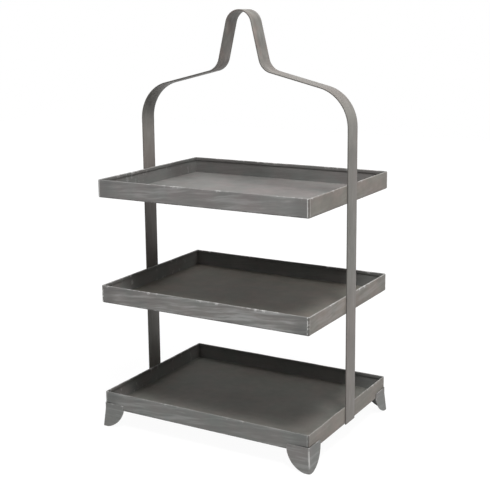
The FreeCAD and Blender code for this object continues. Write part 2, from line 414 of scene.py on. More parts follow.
def tray_finish(name, shuffle, brushwork, wear, seam_wear, seam_jag, lap_shadow_strength, side_marks,
                shade, floor_tint_and_light):
    """`shuffle` moves the pattern so that no two trays match, `brushwork` is how heavily the
    walls are streaked, `wear` and `seam_wear` are how far the rims and the corner seams are
    rubbed, `seam_jag` is how many millimetres the seams' edges wander, the argument for the
    feet's upper edges is how dark their painted shadow is, `side_marks` is how marked the inner
    side walls are and how much paler with painted light, `shade` tints the outer walls and the
    floor argument tints the floor with painted light and shade."""
    material, recipe, shader, place = start_finish(name)
    place = place + (shuffle, -shuffle, 0.0)
    at = OnTray(recipe, place)
    mottle = recipe.noise(place * (60.0, 60.0, 90.0), detail=2.0)
    clouds = recipe.noise(place * (14.0, 14.0, 20.0) + (9.0, 4.0, 2.0), detail=3.0, roughness=0.55)
    drift = recipe.noise(place * (24.0, 24.0, 40.0) + (1.0, 8.0, 5.0), detail=1.0)
    chips = recipe.noise(place * (110.0, 110.0, 60.0), detail=2.0, roughness=0.6)
    skipped, thick, fine = brush_strokes(recipe, at, brushwork)
    rubbed = rubbed_metal_and_highlight(recipe, at, chips, wear, seam_wear, seam_jag, side_marks)
    seam_dirt_and_shade = dark_seams_and_painted_shade(recipe, at, chips, lap_shadow_strength)

    outer_side = at.side * at.outside
    ground = recipe.blend(recipe.ease(drift, 0.3, 0.7), COOL, WARM) * GROUND
    # Painted warm light on the outer side walls, and painted light and shade in each floor's tint.
    walls = recipe.blend(outer_side, recipe.blend(at.outside, PLAIN, shade), WARM_SIDE_LIGHT)
    ground = ground * recipe.blend(at.on_floor, walls, floor_tint_and_light)
    patches = 0.30 + 0.20 * at.on_floor + 0.35 * outer_side
    specks = 0.18 + 0.30 * at.on_floor + 0.22 * outer_side
    # Painted light in part: the inner side walls are made paler as well as marked.
    scuffed_and_lit = 1 + 0.3 * side_marks * at.inner_side
    ground = ground * (1 + patches * (clouds - 0.5) + specks * (mottle - 0.5)) * scuffed_and_lit
    colour = recipe.blend(thick, ground, POOLED)
    colour = recipe.blend(skipped, colour, STREAK)
    # Bare metal with its painted highlights, then darkened by the seams' wash and by painted shade.
    colour = recipe.blend(rubbed, colour, BARE_METAL_AND_HIGHLIGHT) * (1 - seam_dirt_and_shade)
    roughness = 0.66 + 0.2 * (mottle - 0.5) - 0.10 * skipped - 0.22 * rubbed
    metallic = 0.05 + 0.10 * skipped + 0.30 * rubbed
    height = 0.5 * fine + 0.3 * mottle + 0.2 * chips
    feed(recipe, shader, colour, roughness, metallic, height, RELIEF)
    return material


tray_finishes = {
    "bottom_tray": tray_finish(
        "wash_bottom_tray", shuffle=0.37, brushwork=0.42, wear=0.6, seam_wear=0.25, seam_jag=3.0,
        lap_shadow_strength=0.6, side_marks=0.3, shade=(1.00, 1.03, 1.02), floor_tint_and_light=(0.935, 0.92, 0.865)),
    "middle_tray": tray_finish(
        "wash_middle_tray", shuffle=0.00, brushwork=0.70, wear=1.6, seam_wear=0.8, seam_jag=6.0,
        lap_shadow_strength=0.0, side_marks=1.0, shade=(1.07, 1.07, 1.06), floor_tint_and_light=(1.02, 0.96, 0.87)),
    "top_tray": tray_finish(
        "wash_top_tray", shuffle=0.83, brushwork=0.46, wear=0.9, seam_wear=0.9, seam_jag=1.5,
        lap_shadow_strength=0.0, side_marks=0.0, shade=(1.13, 1.11, 1.12), floor_tint_and_light=(1.05, 1.02, 1.02)),
}
print("tray finishes:", ", ".join(m.name for m in tray_finishes.values()))

# %% [markdown]
# The strap takes the same wash, with hardly any brushwork.  The bar is smooth and satiny, with
# slow changes of tone along its length, and its narrow edges are darker.  Paler bands on both
# legs just above the top tray are painted light, and the left shoulder is darker.  The hand loop
# is patchier and a little browner.  A pattern in metres would cut straight through the bar where
# it bends, so most of this one runs on two numbers that are stored when the bar is swept:
# millimetres along it and across it.

# %% The strap's finish
BAR_WASH = (0.184, 0.173, 0.1615)                          # the strap's own, warmer wash
TANNED = (1.07, 0.985, 0.955)                              # browner patches on the hand loop
BAR_RELIEF = 0.10 * MM                                     # smoother than the sheet
BAR_CORNER = (STRAP_WIDTH / 2 - STRAP_EDGE_RADIUS) / MM    # where the rolled edge starts


def strap_finish():
    """The strap's satin wash, whose strokes and tones run on numbers stored along the bar."""
    material, recipe, shader, place = start_finish("wash_strap")
    across = attribute(recipe, "across")          # millimetres from the middle of the bar
    along = attribute(recipe, "along")            # millimetres along the bar
    grain = recipe.noise(recipe.node("ShaderNodeCombineXYZ", None, {
        "X": across * 0.20, "Y": along * 0.020,
    }), detail=2.0)
    clouds = recipe.noise(recipe.node("ShaderNodeCombineXYZ", None, {
        "X": across * 0.05, "Y": along * 0.018, "Z": 4.0,
    }), detail=2.0)
    blots = recipe.noise(recipe.node("ShaderNodeCombineXYZ", None, {
        "X": across * 0.09, "Y": along * 0.045, "Z": 7.0,
    }), detail=2.0)
    stains = recipe.noise(recipe.node("ShaderNodeCombineXYZ", None, {
        "X": across * 0.04, "Y": along * 0.028, "Z": 2.0,
    }), detail=2.0)
    drift = recipe.noise(place * (8.0, 8.0, 8.0) + (2.0, 2.0, 6.0), detail=1.0)
    mottle = recipe.noise(place * (60.0, 60.0, 60.0), detail=2.0)
    edge = recipe.ease(abs(across), BAR_CORNER, BAR_CORNER + 0.25)    # the bar's narrow faces
    strokes = recipe.ease(grain, 0.52, 0.72)

    def part(start, full, fading, end):
        """1 along one part of the bar and 0 past it, from its left foot in millimetres."""
        return recipe.ease(along, start, full) * recipe.ease(along, end, fading)

    lit_band_left = part(400, 425, 470, 492)
    left_shoulder = part(492, 520, 680, 705)
    hand_loop = part(650, 710, 906, 966)
    lit_band_right = part(1050, 1100, 1138, 1158)
    ground = recipe.blend(recipe.ease(drift, 0.3, 0.7), COOL, WARM)
    ground = recipe.blend(hand_loop * recipe.ease(stains, 0.48, 0.64), ground, TANNED) * BAR_WASH
    tone = 0.34 * (clouds - 0.5) + (0.12 + 0.80 * hand_loop) * (blots - 0.5)
    ground = ground * (1 + tone + 0.14 * (grain - 0.5) + 0.10 * (mottle - 0.5))
    # Painted light: both legs are paler just above the top tray, standing for the light on a bend that
    # starts lower on the real strap.  The left shoulder is darker.
    ground = ground * (1 + 0.20 * lit_band_left + 0.20 * lit_band_right - 0.16 * left_shoulder)
    colour = recipe.blend(0.16 * strokes, ground, STREAK) * (1 - 0.35 * edge)
    roughness = 0.52 + 0.16 * (mottle - 0.5) + 0.15 * edge
    metallic = 0.12 - 0.08 * edge
    feed(recipe, shader, colour, roughness, metallic, 0.5 * mottle + 0.5 * grain, BAR_RELIEF)
    return material


strap_wash = strap_finish()
print("strap finish:", strap_wash.name)

# %% [markdown]
# The feet show short level streaks, and rubbed metal down the fold and in small ticks round
# the cut edge, which is what knocks reach first.  A painted highlight runs with them, down the
# fold and faintly along every cut edge.  Distances from the fold and from the cut edge are
# stored on their meshes, in the same way as the numbers on the trays.

# %% The feet's finish
def foot_finish():
    """The feet's wash: short level streaks, with rubbed metal and a painted highlight down the fold and
    round the cut edge.
    """
    material, recipe, shader, place = start_finish("wash_feet")
    height = recipe.node("ShaderNodeSeparateXYZ", None, {0: place}, "Z")    # in metres
    from_fold = attribute(recipe, "from_fold")    # millimetres from the crest of the fold
    from_edge = attribute(recipe, "from_edge")    # millimetres from the nearest cut edge
    streaks = recipe.noise(place * (18.0, 18.0, 230.0), detail=3.0, roughness=0.6)
    mottle = recipe.noise(place * (90.0, 90.0, 90.0), detail=2.0)
    drift = recipe.noise(place * (20.0, 20.0, 20.0), detail=1.0)
    brushed = recipe.ease(streaks, 0.48, 0.68)
    # Painted highlight broken up as wear: down the fold, and faintly along the cut edges with brighter
    # ticks.
    fold = (1 - recipe.ease(from_fold, 0.7, 1.9)) * recipe.ease(height, 6 * MM, 13 * MM)
    edge = 1 - recipe.ease(from_edge, 0.2, 1.0)
    worn = recipe.ease(mottle, 0.40, 0.58)
    ticks = recipe.ease(mottle, 0.52, 0.60)
    rubbed = recipe.node("ShaderNodeClamp", None, {
        "Value": fold * (0.15 + 0.5 * worn) + edge * (0.06 + 0.4 * ticks),
    })
    ground = recipe.blend(recipe.ease(drift, 0.3, 0.7), COOL, WARM) * GROUND
    ground = ground * (1 + 0.30 * (mottle - 0.5))
    colour = recipe.blend(brushed * 0.35, ground, STREAK)
    colour = recipe.blend(rubbed, colour, BARE_METAL_AND_HIGHLIGHT)
    roughness = 0.58 + 0.2 * (mottle - 0.5) - 0.2 * rubbed
    metallic = 0.12 + 0.25 * rubbed
    feed(recipe, shader, colour, roughness, metallic, 0.6 * streaks + 0.4 * mottle, RELIEF)
    return material


foot_wash = foot_finish()
print("foot finish:", foot_wash.name)

# %% [markdown]
# ## The trays
#
# Each tray is one sheet: the walls are folded up from the floor, the corners are closed and
# soldered, and the rim is hemmed, which means folded inwards and down onto itself.  A box
# with thickness would show knife edges and no hem.  So the mesh is drawn the way the sheet
# is: one section, which runs from under the floor, up the outside, over the rolled rim, round
# the hem's tip and down the inside, is carried along the four walls and round the corners.

# %% The section of a folded wall
INNER_RADIUS = FOLD_RADIUS - SHEET
CROWN_RADIUS = SHEET + HEM_GAP / 2
SPRING = WALL_HEIGHT - CROWN_RADIUS       # where the wall ends and the rolled rim begins
HEM_FACE = 2 * CROWN_RADIUS
TIP_RADIUS = SHEET / 2
TIP_HEIGHT = WALL_HEIGHT - HEM_HEIGHT + TIP_RADIUS


def bend(inwards, height, radius, start, end, steps):
    """A round in the section: points (inwards from the wall's face, up from underneath)."""
    turns = [math.radians(start + (end - start) * i / steps) for i in range(steps + 1)]
    return [(inwards + radius * math.cos(t), height + radius * math.sin(t)) for t in turns]


def straight(inwards, start, end, steps):
    """The points between the ends of an upright run."""
    return [(inwards, start + (end - start) * i / steps) for i in range(1, steps)]


outside = bend(FOLD_RADIUS, FOLD_RADIUS, FOLD_RADIUS, -90, -180, 5)
outside += straight(0, FOLD_RADIUS, SPRING, 8)
crown = bend(CROWN_RADIUS, SPRING, CROWN_RADIUS, 180, 0, 6)
hem = straight(HEM_FACE, SPRING, TIP_HEIGHT, 3)
hem += bend(HEM_FACE - TIP_RADIUS, TIP_HEIGHT, TIP_RADIUS, 0, -180, 4)
gap_crown = bend(CROWN_RADIUS, SPRING, HEM_GAP / 2, 0, 180, 2)
inner = straight(SHEET, SPRING, FOLD_RADIUS, 8)
inner += bend(FOLD_RADIUS, FOLD_RADIUS, INNER_RADIUS, 180, 270, 4)
SECTION = outside + crown + hem + gap_crown + inner
CROWN_ROWS = range(len(outside), len(outside) + len(crown))
HEM_ROWS = range(CROWN_ROWS[-1], CROWN_ROWS[-1] + len(hem) + 2)   # both ends included
print("section of", len(SECTION), "points, hem on rows", HEM_ROWS[0], "to", HEM_ROWS[-1])

# %% [markdown]
# The section is carried round in columns.  Along a wall they are 4 mm apart, which is close
# enough for the slight waviness of hand-folded sheet.  Beside each corner two more stand
# where the slit between the hems begins, and nine turn the corner itself.  The corner's
# middle columns dip by a third of a millimetre to make the soldered seam's groove.

# %% Columns around the tray
COLUMN_STEP = 4 * MM
SLIT_EDGE = MITRE_SLOT / 2                    # from the corner bend to the hem's cut end
NEAR_CORNER = [SLIT_EDGE, 1.4 * MM]
CORNER_TURNS = [11, 24, 36, 41, 45, 49, 54, 66, 79]       # degrees round the bend
GROOVE = {41: 0.55, 45: 1.0, 49: 0.55, 36: 0.12, 54: 0.12}
GROOVE_DEPTH = 0.35 * MM
ALONG_X = HALF_WIDTH - FOLD_RADIUS
ALONG_Y = HALF_DEPTH - FOLD_RADIUS
# Where a column stands and faces, its share of the groove, and whether it is beside a slit:
Column = namedtuple("Column", "x y normal_x normal_y groove in_slit")


def spots(half):
    """Places along one straight wall, from bend to bend."""
    ends = [0.0] + NEAR_CORNER
    count = round((2 * half - 2 * ends[-1]) / COLUMN_STEP)
    step = (2 * half - 2 * ends[-1]) / count
    middle = [-half + ends[-1] + step * i for i in range(1, count)]
    return [-half + e for e in ends] + middle + [half - e for e in reversed(ends)]


spots_x, spots_y = spots(ALONG_X), spots(ALONG_Y)


def columns():
    """The columns right round the tray, each with its place, facing and share of the groove."""
    sides = [
        ([(x, -ALONG_Y) for x in spots_x], -90),
        ([(ALONG_X, y) for y in spots_y], 0),
        ([(x, ALONG_Y) for x in reversed(spots_x)], 90),
        ([(-ALONG_X, y) for y in reversed(spots_y)], 180),
    ]
    ring = []
    for places, facing in sides:
        normal = (math.cos(math.radians(facing)), math.sin(math.radians(facing)))
        last = len(places) - 1
        for i, place in enumerate(places):
            ring.append(Column(*place, *normal, 0.0, i in (0, 1, last - 1, last)))
        for turn in CORNER_TURNS:
            angle = math.radians(facing + turn)
            groove = GROOVE.get(turn, 0.0)
            ring.append(Column(*places[-1], math.cos(angle), math.sin(angle), groove, True))
    return ring


RING = columns()
print("columns around a tray:", len(RING))

# %% [markdown]
# Hand work is never quite straight, so the sheet is also disturbed a little.  Walls bow in
# and the rim dips, each by up to half a millimetre and never the other way, so that a tray
# stays as wide, deep and high as the frame says.  The hem's lower edge wanders, and the floor
# has a slow swell up and down.  The walls stay true where the strap and the feet are soldered
# to them.  The noise comes from each point's place, so every run gives the same sheet.

# %% Slight waviness of hand-folded sheet
CORNER_REACH = 45 * MM          # stiff length beside a corner, where the feet are
STRAP_REACH = 24 * MM           # stiff length behind the strap
# How far the sheet strays, and how far apart the humps are:
BOW, BOW_LENGTH = 0.25 * MM, 90 * MM              # the walls
DIP, DIP_LENGTH = 0.25 * MM, 34 * MM              # the rim's height
WANDER, WANDER_LENGTH = 0.6 * MM, 26 * MM         # the hem's lower edge
SWELL, SWELL_LENGTH = 0.4 * MM, 120 * MM          # the floor
FLOOR_EDGE = 40 * MM            # beside a wall the floor's swell dies out


def soft_step(value, low, high):
    """0 below `low`, 1 above `high`, and smooth between them."""
    t = min(max((value - low) / (high - low), 0.0), 1.0)
    return t * t * (3 - 2 * t)


def swell(x, y, z, size, seed):
    """Smooth noise between -1 and 1 whose humps are about `size` metres apart."""
    return noise.noise(Vector((x / size + seed, y / size - seed, z / size)))


def from_corner(x, y):
    """How far along a wall a place lies from the nearest corner, in metres."""
    return (HALF_WIDTH - abs(x)) + (HALF_DEPTH - abs(y))


def looseness(column):
    """How free a wall is to bow at this column, 0 to 1."""
    free = soft_step(from_corner(column.x, column.y), CORNER_REACH, 2 * CORNER_REACH)
    behind_strap = 1 - soft_step(abs(column.y), STRAP_REACH, 2 * STRAP_REACH)
    return free * (1 - abs(column.normal_x) * behind_strap)


def wall_point(column, row, seed):
    """Where one point of the section stands in one column, with the sheet's waviness."""
    x, y = column.x, column.y
    inwards, height = SECTION[row]
    bow = looseness(column) * soft_step(height, 2 * FOLD_RADIUS, WALL_HEIGHT / 2)
    bow *= BOW * (1 + swell(x, y, 0, BOW_LENGTH, seed))
    if row < CROWN_ROWS[0] + 2:        # the groove runs up the outside and fades over the rim
        bow += column.groove * GROOVE_DEPTH * soft_step(height, 0.5 * MM, FOLD_RADIUS)
    out = FOLD_RADIUS - inwards - bow
    dip = DIP * (1 + swell(x, y, 1, DIP_LENGTH, seed + 5))
    dip *= soft_step(height, WALL_HEIGHT / 2, WALL_HEIGHT)
    if row in HEM_ROWS[1:-1]:
        below_the_bend = soft_step(SPRING - height, 0, HEM_HEIGHT / 2)
        dip += WANDER * swell(x, y, 2, WANDER_LENGTH, seed + 9) * below_the_bend
    return x + column.normal_x * out, y + column.normal_y * out, height - dip


def floor_swell(x, y, seed):
    """The floor's slow swell, which dies out at the walls."""
    free = soft_step(ALONG_X - abs(x), 0, FLOOR_EDGE) * soft_step(ALONG_Y - abs(y), 0, FLOOR_EDGE)
    return SWELL * free * swell(x, y, 3, SWELL_LENGTH, seed)


middle_row = min(range(len(outside)), key=lambda row: abs(SECTION[row][1] - WALL_HEIGHT / 2))
sample = wall_point(RING[len(spots_x) // 2], middle_row, seed=1.0)
print("a point half way up the front wall:", [round(v, 5) for v in sample])

# %% Close a mesh up
WELD = 0.004 * MM                  # points closer than this are one point
SLIVER = 0.002 * MM                # edges shorter than this are taken out
SHARP = math.radians(40)           # folds turned by more than this are shown as edges


def close_up(mesh):
    """Welds a mesh into one closed skin that faces out, smooth but for its sharp folds."""
    work = bmesh.new()
    work.from_mesh(mesh)
    bmesh.ops.remove_doubles(work, verts=work.verts, dist=WELD)
    bmesh.ops.dissolve_degenerate(work, edges=work.edges, dist=SLIVER)
    bmesh.ops.recalc_face_normals(work, faces=work.faces)
    open_edges = sum(1 for edge in work.edges if len(edge.link_faces) != 2)
    if work.calc_volume(signed=True) < 0:
        bmesh.ops.reverse_faces(work, faces=work.faces)
    work.to_mesh(mesh)
    work.free()
    mesh.polygons.foreach_set("use_smooth", [True] * len(mesh.polygons))
    mesh.set_sharp_from_angle(angle=SHARP)
    print(mesh.name, "faces", len(mesh.polygons), "edges not shared by two faces", open_edges)


def solid_piece(name, points, faces, numbers, finish):
    """One closed piece at the origin, with the numbers that its finish needs."""
    mesh = bpy.data.meshes.new(name)
    mesh.from_pydata(points, [], faces)
    for title, values in numbers.items():
        mesh.attributes.new(title, "FLOAT", "POINT").data.foreach_set("value", values)
    close_up(mesh)
    mesh.materials.append(finish)
    piece = bpy.data.objects.new(name, mesh)
    bpy.context.scene.collection.objects.link(piece)
    return piece


print("points closer than", round(WELD / MM, 4), "mm are welded")

# %% [markdown]
# Now the columns are joined into one skin.  Between two columns in a corner's slit there is no
# hem, so one face closes the rim instead, and a face of its own closes each hem's cut end.
# The floor is two grids of faces, one below and one above, on the same columns as the walls,
# so that everything welds into one closed solid.

# %% Make the three trays
def folded_tray(node, seed):
    """The pan that stands for one of the frame's trays."""
    bottom = underside[node]
    points, faces = [], []
    numbers = {"rise": [], "inside": [], "side": [], "from_corner": []}

    def add(x, y, z, rise, inside, side):
        points.append((x, y, bottom + z))
        numbers["rise"].append(rise / MM)
        numbers["inside"].append(inside)
        numbers["side"].append(side)
        numbers["from_corner"].append(from_corner(x, y) / MM)
        return len(points) - 1

    grid = []
    for column in RING:
        line = []
        for row, (inwards, height) in enumerate(SECTION):
            inner_side = 0.0 if row <= CROWN_ROWS[2] else 1.0
            line.append(add(*wall_point(column, row, seed), height, inner_side, abs(column.normal_x)))
        grid.append(line)

    for i in range(len(RING)):
        after = (i + 1) % len(RING)
        here, there = grid[i], grid[after]
        in_slit = RING[i].in_slit and RING[after].in_slit
        for row in range(len(SECTION) - 1):
            if in_slit and row in HEM_ROWS[:-1]:
                continue
            faces.append((here[row], there[row], there[row + 1], here[row + 1]))
        if in_slit:
            top, low = HEM_ROWS[0], HEM_ROWS[-1]
            faces.append((here[top], there[top], there[low], here[low]))
        elif RING[i].in_slit:
            faces.append([here[row] for row in HEM_ROWS])
        elif RING[after].in_slit:
            faces.append([there[row] for row in HEM_ROWS])

    for height, inner_side in ((0.0, 0.0), (SHEET, 1.0)):
        sheet = [[add(x, y, height + floor_swell(x, y, seed), height, inner_side, 0.0)
                  for y in spots_y] for x in spots_x]
        for i in range(len(spots_x) - 1):
            for j in range(len(spots_y) - 1):
                faces.append((sheet[i][j], sheet[i + 1][j], sheet[i + 1][j + 1], sheet[i][j + 1]))

    tray = solid_piece("washed_" + node, points, faces, numbers, tray_finishes[node])
    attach(tray, "root")
    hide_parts(node)


FIRST_SEED, NEXT_SEED = 11.3, 7.1
for turn, node in enumerate(TRAYS):
    folded_tray(node, FIRST_SEED + NEXT_SEED * turn)

# %% [markdown]
# ## The strap
#
# One flat bar is bent round a former: a shoulder, a reverse bend at the neck and the tight
# round of the loop, then the same again down the other side.  It follows a path with a
# constant section, which is what Geometry Nodes do well.  The path is only the seven points
# where the straight runs would cross.  Each point carries its bend's radius, and the Fillet
# Curve node turns those corners into arcs.  Then a rounded rectangle is swept along it.

# %% The strap's path, from the same numbers as the frame
SHOULDER_HEIGHT = 582.5 * MM        # where the leg's and the shoulder's lines would cross
SHOULDER_SLOPE = math.radians(13.7)
SHOULDER_RADIUS = 66 * MM
NECK_RADIUS = 28 * MM
LOOP_LEAN = math.radians(13.4)
LOOP_RADIUS = 24.7 * MM
BEND_STEPS, EDGE_STEPS = 24, 3      # points in a bend, and in an edge of the bar

leg = HALF_WIDTH + STRAP_THICKNESS / 2
slope = math.tan(SHOULDER_SLOPE)
loop_centre = strap_high.z - STRAP_THICKNESS / 2 - LOOP_RADIUS
peak = loop_centre + LOOP_RADIUS / math.sin(LOOP_LEAN)
rise = peak - SHOULDER_HEIGHT - leg * slope
neck = rise * math.tan(LOOP_LEAN) / (1 - slope * math.tan(LOOP_LEAN))
neck_height = SHOULDER_HEIGHT + (leg - neck) * slope
half_path = [
    (leg, strap_low.z, 0.0),
    (leg, SHOULDER_HEIGHT, SHOULDER_RADIUS),
    (neck, neck_height, NECK_RADIUS),
]
path = [(-x, z, bend_radius) for x, z, bend_radius in half_path]
path += [(0.0, peak, LOOP_RADIUS)] + list(reversed(half_path))

line = bpy.data.curves.new("strap_line", "CURVE")
line.dimensions = "3D"
spline = line.splines.new("POLY")
spline.points.add(len(path) - 1)
for point, (x, z, bend_radius) in zip(spline.points, path):
    point.co = (x, 0, z, 1)
    point.radius = bend_radius
strap_line = bpy.data.objects.new("strap_line", line)
bpy.context.scene.collection.objects.link(strap_line)
print("neck at", [round(neck, 4), round(neck_height, 4)], "peak of the lines", round(peak, 4))

# %% A Geometry Nodes tree that bends a bar along the path
def node_group(name, inputs):
    """A Geometry Nodes tree with a Geometry input and some named sizes."""
    tree = bpy.data.node_groups.new(name, "GeometryNodeTree")
    tree.interface.new_socket("Geometry", in_out="INPUT", socket_type="NodeSocketGeometry")
    for title, kind in inputs.items():
        tree.interface.new_socket(title, in_out="INPUT", socket_type=kind)
    tree.interface.new_socket("Geometry", in_out="OUTPUT", socket_type="NodeSocketGeometry")
    recipe = Recipe(tree)
    return recipe, recipe.node("NodeGroupInput", output="Geometry")


def bar_tree():
    """Rounds the path's corners, then sweeps a rounded bar along it."""
    sizes = ["Bar width", "Bar thickness", "Edge radius", "Step"]
    recipe, given = node_group("bar_bent_along_a_path", {s: "NodeSocketFloat" for s in sizes})
    fillet = recipe.node("GeometryNodeFilletCurve", {"mode": "POLY"}, {
        "Curve": given, "Count": BEND_STEPS, "Radius": recipe.node("GeometryNodeInputRadius"),
    })
    even = recipe.node("GeometryNodeResampleCurve", {"mode": "LENGTH"}, {
        "Curve": fillet, "Length": given.other("Step"),
    })
    plain = recipe.node("GeometryNodeSetCurveRadius", None, {"Curve": even, "Radius": 1.0})
    along = recipe.node("GeometryNodeSplineParameter", None, None, "Length")
    marked = recipe.node("GeometryNodeStoreNamedAttribute", {"data_type": "FLOAT"}, {
        "Geometry": plain, "Name": "along", "Value": along * (1 / MM),
    })
    level = recipe.node("GeometryNodeSetCurveNormal", {"mode": "FREE"}, {
        "Curve": marked, "Normal": (0.0, 1.0, 0.0),
    })
    flat = recipe.node("GeometryNodeCurvePrimitiveQuadrilateral", {"mode": "RECTANGLE"}, {
        "Width": given.other("Bar width"), "Height": given.other("Bar thickness"),
    })
    eased = recipe.node("GeometryNodeFilletCurve", {"mode": "POLY"}, {
        "Curve": flat, "Count": EDGE_STEPS, "Radius": given.other("Edge radius"),
    })
    place = recipe.node("GeometryNodeInputPosition")
    width_place = recipe.node("ShaderNodeSeparateXYZ", None, {0: place}, "X")
    section = recipe.node("GeometryNodeStoreNamedAttribute", {"data_type": "FLOAT"}, {
        "Geometry": eased, "Name": "across", "Value": width_place * (1 / MM),
    })
    bar = recipe.node("GeometryNodeCurveToMesh", None, {
        "Curve": level, "Profile Curve": section, "Fill Caps": True,
    })
    real = recipe.node("GeometryNodeRealizeInstances", None, {"Geometry": bar})
    done = recipe.node("GeometryNodeSetMaterial", None, {"Geometry": real, "Material": strap_wash})
    recipe.node("NodeGroupOutput", None, {"Geometry": done}, None)
    return recipe.tree


def grown(source, tree, sizes, name):
    """Runs a tree on an object and keeps the result as a plain mesh in a new object."""
    modifier = source.modifiers.new("grow", "NODES")
    modifier.node_group = tree
    keys = {item.name: item.identifier for item in tree.interface.items_tree
            if item.in_out == "INPUT"}
    for title, value in sizes.items():
        modifier[keys[title]] = value
    seen = source.evaluated_get(bpy.context.evaluated_depsgraph_get())
    mesh = bpy.data.meshes.new_from_object(seen)
    mesh.name = name
    source.modifiers.remove(modifier)
    bpy.data.objects.remove(source)
    piece = bpy.data.objects.new(name, mesh)
    bpy.context.scene.collection.objects.link(piece)
    print(name, "from", tree.name, "with", len(mesh.polygons), "faces")
    return piece


strap = grown(strap_line, bar_tree(), {
    "Bar width": STRAP_WIDTH,
    "Bar thickness": STRAP_THICKNESS,
    "Edge radius": STRAP_EDGE_RADIUS,
    "Step": 3 * MM,
}, "washed_handle_strap")

# %% Finish the strap and set it against the frame
def extent(piece):
    """The piece's lowest and highest corners, in metres."""
    places = [vertex.co for vertex in piece.data.vertices]
    return [[round(pick(place[axis] for place in places), 5) for axis in range(3)]
            for pick in (min, max)]


close_up(strap.data)
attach(strap, "root")
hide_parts("handle_strap")
print("strap here ", extent(strap))
print("strap frame", [[round(v, 5) for v in corner] for corner in (strap_low, strap_high)])

# %% [markdown]
# ## The feet
#
# A foot is a plate folded round the tray's corner and cut with snips: each cheek runs from a
# short flat toe up a round edge to the tray.  Below the tray the plate splays outwards a
# little, and above it the plate lies flat on the walls.  The mesh is drawn on the unfolded
# plate, column by column round the fold.  It keeps the plate's true thickness and gives the
# cut edges a small bevel, which catches light as a snipped edge does.

# %% Sizes of a foot
FOOT_FLARE = 3 * MM                # how far the toe stands out
CHEEK_WIDTH = 39 * MM
TOE_WIDTH = 6 * MM
CHEEK_CURVE_RADIUS = 42 * MM
CHEEK_CORNER_RADIUS = 2 * MM
SNIPPED_EDGE = 0.25 * MM           # bevel on the cut edges
SNIPPED_FROM = math.radians(50)    # an edge that turns by more than this is a cut one
FOOT_TOP = FOOT_DROP + FOOT_LAP
ROWS_BELOW, ROWS_ABOVE = 10, 4
FOLD_TURNS = [0, 15, 30, 45, 60, 75, 90]

toe, heel = Vector((TOE_WIDTH, 0.0)), Vector((CHEEK_WIDTH, FOOT_DROP))
chord = heel - toe
to_centre = math.sqrt(CHEEK_CURVE_RADIUS ** 2 - (chord.length / 2) ** 2)
curve_centre = (toe + heel) / 2 + Vector((-chord.y, chord.x)).normalized() * to_centre


def foot_bottom(reach):
    """The lower edge's height at a distance along a cheek from the tray's corner."""
    if reach <= TOE_WIDTH:
        return 0.0
    drop = math.sqrt(max(CHEEK_CURVE_RADIUS ** 2 - (reach - curve_centre.x) ** 2, 0.0))
    return min(max(curve_centre.y - drop, 0.0), FOOT_DROP)


def foot_top(reach):
    """The upper edge's height, with its corner taken off."""
    past = reach - (CHEEK_WIDTH - CHEEK_CORNER_RADIUS)
    if past <= 0:
        return FOOT_TOP
    return FOOT_TOP - CHEEK_CORNER_RADIUS + math.sqrt(max(CHEEK_CORNER_RADIUS ** 2 - past ** 2, 0.0))


cheek_spots = [4, 6, 7, 8, 10, 12, 14.5, 17, 20, 23, 26, 29, 32, 34.5, 37, 37.8, 38.5, 38.85, 39]
print("cheek's lower edge at 10, 20 and 30 mm:",
      [round(foot_bottom(r * MM) / MM, 2) for r in (10, 20, 30)])

# %% Make the four feet
def foot_columns():
    """(base, facing, reach, slide along u, slide along v) round the fold, cheek to cheek."""
    ring = []
    for spot in reversed(cheek_spots):
        slide = 1 - soft_step(spot * MM, FOLD_RADIUS, TOE_WIDTH)
        ring.append(((spot * MM, FOLD_RADIUS), 270, spot * MM, slide, 1.0))
    for turn in FOLD_TURNS:
        ring.append(((FOLD_RADIUS, FOLD_RADIUS), 270 - turn, FOLD_RADIUS, 1.0, 1.0))
    for spot in cheek_spots:
        slide = 1 - soft_step(spot * MM, FOLD_RADIUS, TOE_WIDTH)
        ring.append(((FOLD_RADIUS, spot * MM), 180, spot * MM, 1.0, slide))
    return ring


